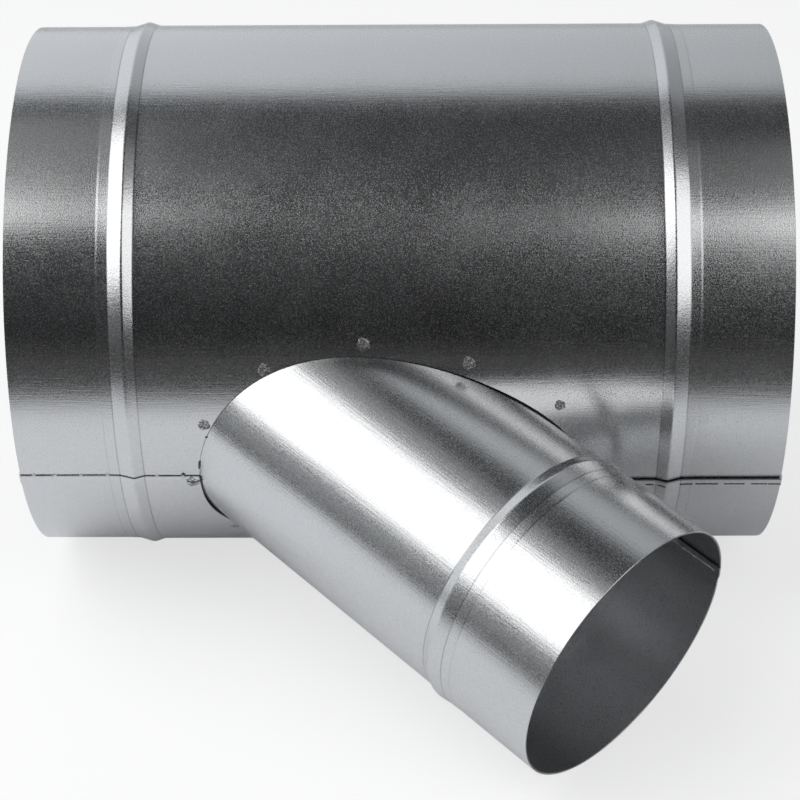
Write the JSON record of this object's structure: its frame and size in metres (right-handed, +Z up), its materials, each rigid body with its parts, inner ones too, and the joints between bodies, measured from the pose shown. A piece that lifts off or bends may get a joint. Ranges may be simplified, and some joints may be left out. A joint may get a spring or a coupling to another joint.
{
  "type": "duct y branch",
  "caption": "Round sheet-steel duct fitting: a straight run with beaded spigot ends and a smaller beaded branch leaving it at an acute angle.",
  "frame": {"origin": "centre of the main duct's left mouth, on its axis", "axes": "+X along the main duct, from the mouth that the branch starts near to the mouth that it leans towards; +Z up as the fitting lies on its two bead rings and the branch's mouth; the branch points to -Y and slightly down"},
  "size_m": [0.276, 0.3095, 0.2026],
  "materials": {
    "main_sheet": "galvanised steel sheet, fine grain, faintly streaked along its length",
    "branch_sheet": "galvanised steel sheet, fine grain, faintly streaked along its length"
  },
  "bodies": {
    "root": {"main_duct": "main_sheet", "branch": "branch_sheet"}
  },
  "joints": []
}
